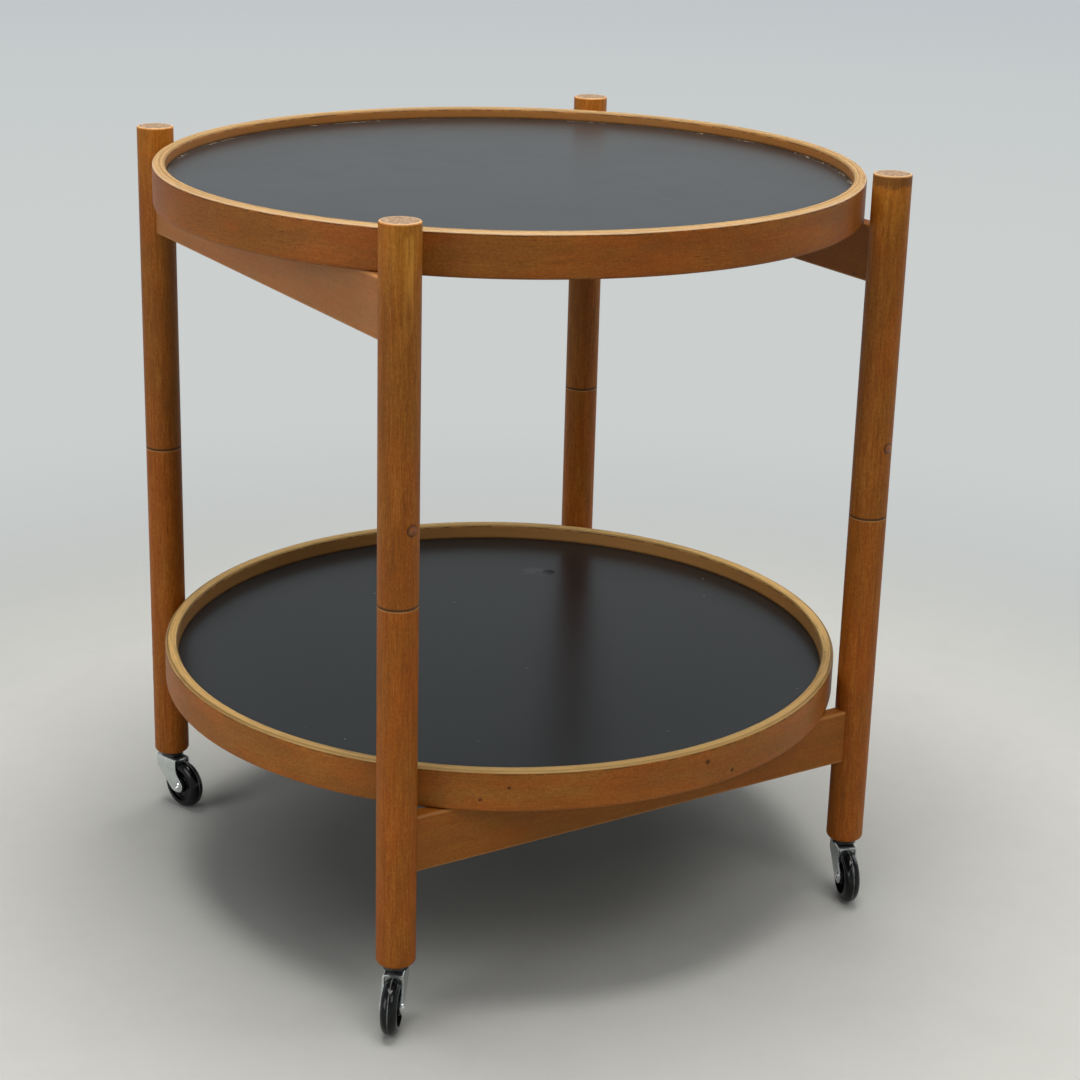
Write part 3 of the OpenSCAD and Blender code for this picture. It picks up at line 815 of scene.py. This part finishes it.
def make_rim_tree():
    """A rim: its section is drawn with a fine groove at each glue line, then swept round a circle.

    The section's X runs outwards from the rim's outer face, and its Y is the height about the middle.
    """
    tree, given, result = new_group(
        "bent_rim",
        {
            "Float": ["Outer Radius", "Thickness", "Height", "Middle", "Edge Round", "Groove"]
            + ["Let In", "Panel Top", "Panel Bottom"],
            "Int": ["Veneers", "Steps Round"],
            "Material": ["Material"],
        },
        {"Geometry": ["Rim"]},
        "GeometryNodeTree",
    )
    steps_per_veneer = 8
    inner = times(given["Thickness"], -1.0)
    shoulder = minus(times(given["Height"], 0.5), given["Edge Round"])

    def point(x, y):
        return join(x, y, 0.0)

    def straight(start, end, count):
        """A line of points. Offset is where the line ends, in this mode."""
        inputs = {"Count": count, "Start Location": start, "Offset": end}
        return place("GeometryNodeMeshLine", inputs, mode="END_POINTS").outputs[0]

    def edge_line(side):
        """Top (1) or bottom (-1) of the section: a rounded line with a groove between veneers."""
        count = plus(times(given["Veneers"], steps_per_veneer), 1.0)
        flat = straight(point(inner, 0.0), (0.0, 0.0, 0.0), count)
        x = split(tree.nodes.new("GeometryNodeInputPosition").outputs[0])[0]
        from_face = calc("MINIMUM", times(x, -1.0), plus(x, given["Thickness"]))
        short = calc("MAXIMUM", minus(given["Edge Round"], from_face), 0.0)
        full_square = times(given["Edge Round"], given["Edge Round"])
        square = minus(full_square, times(short, short))
        rise = calc("SQRT", calc("MAXIMUM", square, 0.0))
        index = tree.nodes.new("GeometryNodeInputIndex").outputs[0]
        at_line = calc("LESS_THAN", calc("MODULO", index, float(steps_per_veneer)), 0.5)
        share_of_rise = calc("DIVIDE", rise, given["Edge Round"])
        groove = times(times(at_line, given["Groove"]), share_of_rise)
        height = times(plus(shoulder, minus(rise, groove)), float(side))
        moved = {"Geometry": flat, "Position": join(x, height, 0.0)}
        return place("GeometryNodeSetPosition", moved).outputs[0]

    under_shoulder = times(shoulder, -1.0)
    slot_end = plus(inner, given["Let In"])
    top, bottom = given["Panel Top"], given["Panel Bottom"]
    stretches = [
        edge_line(1),
        edge_line(-1),
        straight(point(0.0, under_shoulder), point(0.0, shoulder), count=15),
        straight(point(inner, shoulder), point(inner, top), count=6),
        straight(point(inner, top), point(slot_end, top), count=2),
        straight(point(slot_end, top), point(slot_end, bottom), count=2),
        straight(point(slot_end, bottom), point(inner, bottom), count=2),
        straight(point(inner, bottom), point(inner, under_shoulder), count=6),
    ]
    joined = tree.nodes.new("GeometryNodeJoinGeometry")
    for stretch in stretches:
        tree.links.new(stretch, joined.inputs[0])
    welded = {"Geometry": joined.outputs[0], "Distance": WELD}
    welded = place("GeometryNodeMergeByDistance", welded).outputs[0]
    section = place("GeometryNodeMeshToCurve", {0: welded}).outputs[0]
    section = place("GeometryNodeTransform", {"Geometry": section, "Scale": (1, -1, 1)}).outputs[0]
    sizes = {"Resolution": given["Steps Round"], "Radius": given["Outer Radius"]}
    path = place("GeometryNodeCurvePrimitiveCircle", sizes).outputs[0]
    swept = place("GeometryNodeCurveToMesh", {"Curve": path, "Profile Curve": section}).outputs[0]
    height = join(0.0, 0.0, given["Middle"])
    raised = place("GeometryNodeTransform", {"Geometry": swept, "Translation": height}).outputs[0]
    realized = place("GeometryNodeRealizeInstances", {0: raised}).outputs[0]
    finished = place("GeometryNodeSetMaterial", {"Geometry": realized, "Material": given["Material"]})
    feed(result, {"Rim": finished.outputs[0]})
    return tree


def grown(tree, name, values):
    """Runs a geometry tree with the given inputs and returns what it makes as a plain mesh."""
    holder = put_in_scene(name, bpy.data.meshes.new(name))
    modifier = holder.modifiers.new("maker", "NODES")
    modifier.node_group = tree
    for item in tree.interface.items_tree:
        if item.in_out == "INPUT":
            modifier[item.identifier] = values[item.name]
    return facing_outwards(mesh_made_by(holder))


def make_rims(materials):
    tree = make_rim_tree()
    for tray in TRAYS:
        middle = centre_of(tray + "_rim").z
        mesh = grown(tree, tray + "_bent_rim", {
            "Outer Radius": TRAY_RADIUS,
            "Thickness": RIM_THICKNESS,
            "Height": RIM_HEIGHT,
            "Middle": middle,
            "Edge Round": RIM_EDGE_ROUND,
            "Veneers": RIM_VENEERS,
            "Groove": VENEER_GROOVE,
            "Let In": PANEL_RADIUS - RIM_INSIDE,
            "Panel Top": top_of(tray + "_top_laminate") - middle,
            "Panel Bottom": bottom_of(tray + "_bottom_laminate") - middle,
            "Steps Round": RIM_STEPS,
            "Material": materials[tray],
        })
        mesh = smooth(mesh, sharp_above=38)
        add_piece(tray + "_bent_rim", mesh, materials[tray], tray + "_tray", tray + "_rim")


def arc(centre, radius, start, end, steps):
    """Points along an arc in an outline, with its angles in degrees."""
    angles = (math.radians(start + (end - start) * k / steps) for k in range(steps + 1))
    return [(centre[0] + radius * math.cos(a), centre[1] + radius * math.sin(a)) for a in angles]


def wheel_outline():
    """Section of a wheel from its bore outwards: distance from the axle, and distance along it, in mm."""
    half, tread = WHEEL_WIDTH / MM / 2, WHEEL_RADIUS / MM
    bore, hub, dish, web = AXLE_RADIUS / MM + 0.05, 7.0, 15.5, 2.5
    flat, seam, seam_half = 0.6, 0.25, 0.45
    bore_edge, hub_edge, hollow, dish_edge = 0.5, 0.6, 0.9, 0.5
    round_tread = half - flat
    ground = tread - seam
    side = [(bore, half - bore_edge), (bore + bore_edge, half)]
    side += arc((hub - hub_edge, half - hub_edge), hub_edge, 90, 0, steps=5)
    side += arc((hub + hollow, web + hollow), hollow, 180, 270, steps=5)
    side += arc((dish - hollow, web + hollow), hollow, 270, 360, steps=5)
    side += arc((dish + dish_edge, half - dish_edge), dish_edge, 180, 90, steps=4)
    side += arc((ground - round_tread, flat), round_tread, 90, 4, steps=16)
    side += [(ground, seam_half + 0.1), (tread - 0.04, seam_half - 0.1), (tread, 0.15)]
    return side + [(r, -h) for r, h in reversed(side)]


def turned(outline, centre, axis, steps):
    """Spins a closed outline about an axis through a centre."""
    shape = bmesh.new()
    rings = []
    for step in range(steps):
        angle = 2 * math.pi * step / steps
        ring = [(r * MM * math.cos(angle), r * MM * math.sin(angle), h * MM) for r, h in outline]
        rings.append([shape.verts.new(point) for point in ring])
    for ring, following in zip(rings, rings[1:] + rings[:1]):
        for k in range(len(outline)):
            after = (k + 1) % len(outline)
            shape.faces.new((ring[k], ring[after], following[after], following[k]))
    mesh = bpy.data.meshes.new("turned")
    shape.to_mesh(mesh)
    shape.free()
    onto_axis = Vector(axis).to_track_quat("Z", "Y").to_matrix().to_4x4()
    mesh.transform(Matrix.Translation(centre) @ onto_axis)
    return facing_outwards(mesh)


def make_wheels():
    for corner in CORNERS:
        material = black_wheel(corner)
        spin = joint_of("wheel_spin_" + corner)
        mesh = turned(wheel_outline(), Vector(spin["pos_m"]), spin["axis"], WHEEL_STEPS)
        mesh = smooth(mesh, sharp_above=40)
        name = "moulded_wheel_" + corner
        add_piece(name, mesh, material, "wheel_" + corner, "caster_wheel_" + corner)


def bevelled(node, width):
    """A copy of a node's mesh with its sharp edges rounded over."""
    flat_below, sharp_above = math.radians(0.5), math.radians(40)
    mesh = node_of(node).data.copy()
    for name in ("custom_normal", "sharp_edge", "sharp_face"):
        if name in mesh.attributes:
            mesh.attributes.remove(mesh.attributes[name])
    shape = bmesh.new()
    shape.from_mesh(mesh)
    bmesh.ops.remove_doubles(shape, verts=shape.verts, dist=WELD)
    bmesh.ops.dissolve_limit(shape, angle_limit=flat_below, verts=shape.verts, edges=shape.edges)
    shape.to_mesh(mesh)
    shape.free()
    mesh.polygons.foreach_set("use_smooth", [True] * len(mesh.polygons))
    holder = put_in_scene(node + "_copy", mesh)
    bevel = holder.modifiers.new("edges", "BEVEL")
    bevel.width = width
    bevel.segments = 3
    bevel.limit_method = "ANGLE"
    bevel.angle_limit = sharp_above
    bevel.harden_normals = True
    return mesh_made_by(holder)


def make_forks(material):
    for corner in CORNERS:
        node = "caster_fork_" + corner
        mesh = bevelled(node, FORK_EDGE)
        add_piece("pressed_fork_" + corner, mesh, material, "caster_" + corner, node)


def finish_node(name, material):
    mesh = node_of(name).data
    mesh.materials.clear()
    mesh.materials.append(material)


def finish_legs():
    lower_stain = ((0.160, 0.044, 0.004, 1), (0.305, 0.083, 0.007, 1), (0.450, 0.160, 0.020, 1))
    # The golden band on the front left leg is partly a painted highlight
    streaks = {"front_left": (-93, LEG_TOP - 95 * MM, LEG_TOP - 6 * MM)}
    smoky = {"front_right": 12 * MM}
    # At the joint the dark lines are grime and painted shade, and the lower half's pale edge is partly a
    # painted highlight
    upper_ends = [(LEG_TOP, -1.0, 0.40, 0.0), (JOINT_HEIGHT, 1.0, 0.0, 2.0 * MM)]
    lower_ends = [(JOINT_HEIGHT, -1.0, 0.60, 0.8 * MM), (LEG_FOOT, 1.0, 0.0, 0.6 * MM)]
    for index, corner in enumerate(CORNERS):
        upper, lower = "upper_leg_" + corner, "lower_leg_" + corner
        seed = 1.3 * index
        finish_node(upper, turned_beech(
            "beech_" + upper, centre_of(upper), seed + 0.4, STAIN, upper_ends,
            streak=streaks.get(corner),
            smoky_depth=smoky.get(corner, 0.0),
            peg_side=-1 if "front" in corner else 1,
        ))
        finish_node(lower, turned_beech(
            "beech_" + lower, centre_of(lower), seed + 7.9, lower_stain, lower_ends,
        ))


def finish_rails():
    rosy = ((0.235, 0.082, 0.019, 1), (0.365, 0.140, 0.040, 1), (0.480, 0.210, 0.070, 1))
    golden = ((0.155, 0.046, 0.005, 1), (0.290, 0.092, 0.010, 1), (0.430, 0.170, 0.026, 1))
    right_knot = (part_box("upper_rail_right")[0].x, -0.196, 0.5625)
    rails = {
        "upper_rail_left": ("Y", rosy, []),
        "upper_rail_right": ("Y", STAIN, [(right_knot, 1.6 * MM)]),
        "lower_rail_front": ("X", golden, []),
        "lower_rail_back": ("X", STAIN, []),
    }
    for index, (name, (along, tones, marks)) in enumerate(rails.items()):
        low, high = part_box(name)
        seed = 2.1 * index + 0.7
        finish_node(name, sawn_beech("beech_" + name, low, high, along, seed, tones, marks))


def finish_trays():
    stains = {
        "upper": ((0.150, 0.044, 0.006, 1), (0.270, 0.082, 0.011, 1), (0.400, 0.145, 0.022, 1)),
        "lower": ((0.175, 0.053, 0.007, 1), (0.300, 0.096, 0.013, 1), (0.440, 0.170, 0.028, 1)),
    }
    # On the upper rim the paler outside tone is wear and partly a painted highlight
    tones = {
        "upper": ((0.43, 0.265, 0.110, 1), (0.54, 0.355, 0.19, 1), (0.34, 0.155, 0.042, 1)),
        "lower": ((0.93, 0.590, 0.215, 1), (0.75, 0.46, 0.165, 1), (0.52, 0.275, 0.090, 1)),
    }
    # How dull the lower rim's edge is, and how much painted shade darkens it at the front and the back
    dulled_and_shaded = {"upper": 0.0, "lower": 0.75}
    # Knots of the lower rim: bearing in degrees, height in metres and size in millimetres
    knots = [(-86.7, 0.2027, 3.0), (-81.5, 0.1885, 2.3), (-119.2, 0.2014, 2.0), (-123.5, 0.1905, 2.0)]
    marks = {
        "upper": [],
        "lower": [(on_circle(TRAY_RADIUS, bearing, z), size * MM) for bearing, z, size in knots],
    }
    rims = {}
    for index, tray in enumerate(TRAYS):
        name, seed = "beech_" + tray + "_rim", 3.3 * index + 1.1
        rims[tray] = bent_beech(name, tray, stains[tray], tones[tray], dulled_and_shaded[tray], marks[tray], seed)
    make_rims(rims)
    lower_panel = top_of("lower_top_laminate")
    finger_marks = [
        ((0.127, 0.147, lower_panel), 17 * MM, 0.10, 0.0),
        ((0.139, 0.140, lower_panel), 8 * MM, 0.0, 0.4),
    ]
    laminate = {
        "upper": black_laminate("black_laminate_upper", grit=1.0),
        "lower": black_laminate("black_laminate_lower", grit=0.15, marks=finger_marks),
    }
    core = bare_beech("panel_core_wood", (0.42, 0.27, 0.14, 1), (0.62, 0.45, 0.27, 1))
    for tray in TRAYS:
        finish_node(tray + "_top_laminate", laminate[tray])
        finish_node(tray + "_bottom_laminate", laminate[tray])
        finish_node(tray + "_panel_core", core)


def finish_fittings():
    dowel = bare_beech("dowel_wood", (0.48, 0.31, 0.17, 1), (0.66, 0.49, 0.31, 1))
    peg = peg_wood()
    for side in ("left", "right"):
        finish_node("upper_dowels_" + side, dowel)
        finish_node("pegs_" + side, peg)
    for side in ("front", "back"):
        finish_node("lower_dowels_" + side, dowel)
    # The forks' tops, under the legs, get painted shade and a painted dark reflection
    dark_above = top_of("caster_fork_front_left") - 0.5 * MM
    zinc = plated_steel(
        "zinc_plate", (0.72, 0.76, 0.75, 1),
        rough=0.20, dullness=0.82, brushed=0.4, dark_above=dark_above,
    )
    rivet = plated_steel("rivet_steel", (0.84, 0.85, 0.85, 1), rough=0.10, dullness=0.8)
    bearing = plated_steel("bearing_steel", (0.10, 0.10, 0.10, 1), rough=0.25, dullness=0.4)
    ball = plated_steel("ball_steel", (0.75, 0.75, 0.75, 1), rough=0.08, dullness=0.8)
    turned_pin = plated_steel("turned_steel", (0.58, 0.57, 0.56, 1), rough=0.3, dullness=0.8)
    for corner in CORNERS:
        finish_node("pivot_pin_" + corner, turned_pin)
        finish_node("caster_axle_" + corner, rivet)
        finish_node("caster_balls_" + corner, ball)
        for piece in ("socket", "stem"):
            finish_node("caster_" + piece + "_" + corner, bearing)
    make_forks(zinc)
    make_wheels()


finish_legs()
finish_rails()
finish_trays()
finish_fittings()


# Studio
FLOOR_NEAR = (0.500, 0.500, 0.472, 1)
FLOOR_MIDDLE = (0.600, 0.624, 0.617, 1)
FLOOR_FAR = (0.525, 0.565, 0.584, 1)
# Tone of the shadow painted on the floor under the table
FLOOR_PAINTED_SHADOW = (0.05, 0.047, 0.036, 1)
FLOOR_RADIUS = 14.0

# Distances from the table's middle between which the floor changes
PAINTED_SHADOW_EDGE = (0.31, 0.12)
BACKDROP_EDGE = (0.55, 1.15)
MIDDLE_EDGE = (0.7, 1.5)
FAR_EDGE = (2.0, 9.0)

# The room: the point that the lamps face, its tones, and where it turns darker above
LIT_POINT = (0, 0, 0.3)
HIGH_FROM_TO = (0.10, 0.60)
ROOM_HIGH = (0.30, 0.32, 0.33, 1)
ROOM_LIGHT = (0.93, 0.97, 1.0, 1)


def shown_to_eye(tree):
    """1 for rays from the camera and for mirrored ones, else 0."""
    rays = tree.nodes.new("ShaderNodeLightPath").outputs
    return calc("ADD", rays["Is Camera Ray"], rays["Is Glossy Ray"], clamp=True)


def make_floor():
    """A wide pale floor, lit near the table with a shadow painted darker under it, and, further off,
    shown in the even tone of a backdrop.
    """
    mesh = bpy.data.meshes.new("studio_floor")
    shape = bmesh.new()
    bmesh.ops.create_circle(shape, cap_ends=True, segments=128, radius=FLOOR_RADIUS)
    shape.to_mesh(mesh)
    shape.free()
    floor = put_in_scene("studio_floor", mesh)
    material, shader, where = new_material("studio_floor")
    away = radius_of(*split(where)[:2])
    cloud = ramp_between(noise(where, scale=3.0, detail=5, roughness=0.6), 0.3, 0.7)
    fine = noise(where, scale=22.0, detail=6, roughness=0.7, distortion=0.6)
    cloud = plus(times(cloud, 0.5), times(ramp_between(fine, 0.35, 0.75), 0.5))
    lit = tinted(FLOOR_NEAR, cloud, 0.30, darker(FLOOR_NEAR, 0.80))
    # Painted shadow: the floor's colour is darkened under the table
    lit = tinted(lit, ramp_between(away, *PAINTED_SHADOW_EDGE), 0.66, FLOOR_PAINTED_SHADOW)
    surfaced(shader, lit, roughness=0.75, specular=0.25)
    further = ramp_between(away, *MIDDLE_EDGE)
    tone = blend_colours(further, darker(FLOOR_MIDDLE, 0.89), FLOOR_MIDDLE)
    tone = blend_colours(ramp_between(away, *FAR_EDGE), tone, FLOOR_FAR)
    shown = place("ShaderNodeEmission", {"Color": tone, "Strength": 1.0})
    even = times(ramp_between(away, *BACKDROP_EDGE), shown_to_eye(material.node_tree))
    mixed = place("ShaderNodeMixShader", {0: even, 1: shader.outputs[0], 2: shown.outputs[0]})
    feed(material.node_tree.nodes["Material Output"], {"Surface": mixed.outputs[0]})
    floor.data.materials.append(material)


def make_light():
    """A soft box overhead, weaker ones at the left, front and right, and a dim even room."""
    for name, place_at, size, power, colour in (
        # Name, place, size in metres, power in watts and colour
        ("soft_box_above", (0.0, 0.05, 2.7), 1.5, 80, (1.0, 0.985, 0.96)),
        ("soft_box_left", (-2.8, -0.3, 1.4), 1.6, 27, (0.97, 0.985, 1.0)),
        ("soft_box_front", (0.2, -2.2, 2.5), 1.4, 20, (1.0, 0.98, 0.95)),
        ("soft_box_right", (2.6, 0.2, 1.3), 1.4, 11, (0.98, 0.99, 1.0)),
    ):
        lamp = bpy.data.lights.new(name, "AREA")
        lamp.shape = "SQUARE"
        lamp.size = size
        lamp.energy = power
        lamp.color = colour
        holder = put_in_scene(name, lamp)
        holder.location = place_at
        towards_table = Vector(LIT_POINT) - Vector(place_at)
        holder.rotation_euler = towards_table.to_track_quat("-Z", "Y").to_euler()
    world = bpy.data.worlds.new("grey_room")
    bpy.context.scene.world = world
    world.use_nodes = True
    tree = world.node_tree
    room = tree.nodes["Background"]
    feed(room, {"Color": ROOM_LIGHT, "Strength": 0.20})
    direction = tree.nodes.new("ShaderNodeTexCoord").outputs["Generated"]
    height = split(direction)[2]
    tone = blend_colours(ramp_between(height, *HIGH_FROM_TO), FLOOR_FAR, ROOM_HIGH)
    shown = place("ShaderNodeBackground", {"Color": tone, "Strength": 1.0})
    shaders = {0: shown_to_eye(tree), 1: room.outputs[0], 2: shown.outputs[0]}
    mixed = place("ShaderNodeMixShader", shaders)
    feed(tree.nodes["World Output"], {"Surface": mixed.outputs[0]})


def make_camera():
    azimuth, elevation = math.radians(CAMERA_AZIMUTH), math.radians(CAMERA_ELEVATION)
    roll = math.radians(CAMERA_ROLL)
    level = Vector((math.sin(azimuth), -math.cos(azimuth), 0))
    back = level * math.cos(elevation) + Vector((0, 0, math.sin(elevation)))
    level_right = Vector((math.cos(azimuth), math.sin(azimuth), 0))
    level_up = back.cross(level_right)
    right = level_right * math.cos(roll) + level_up * math.sin(roll)
    up = level_up * math.cos(roll) - level_right * math.sin(roll)
    data = bpy.data.cameras.new("photo_camera")
    data.sensor_width = CAMERA_SENSOR
    data.lens = CAMERA_LENS
    data.shift_x, data.shift_y = CAMERA_SHIFT
    data.clip_start, data.clip_end = 0.05, 60.0
    camera = put_in_scene("photo_camera", data)
    turn = Matrix((right, up, back)).transposed().to_4x4()
    camera.matrix_world = Matrix.Translation(CAMERA_PLACE) @ turn
    bpy.context.scene.camera = camera


make_floor()
make_light()
make_camera()
bpy.context.scene.view_settings.view_transform = "Standard"
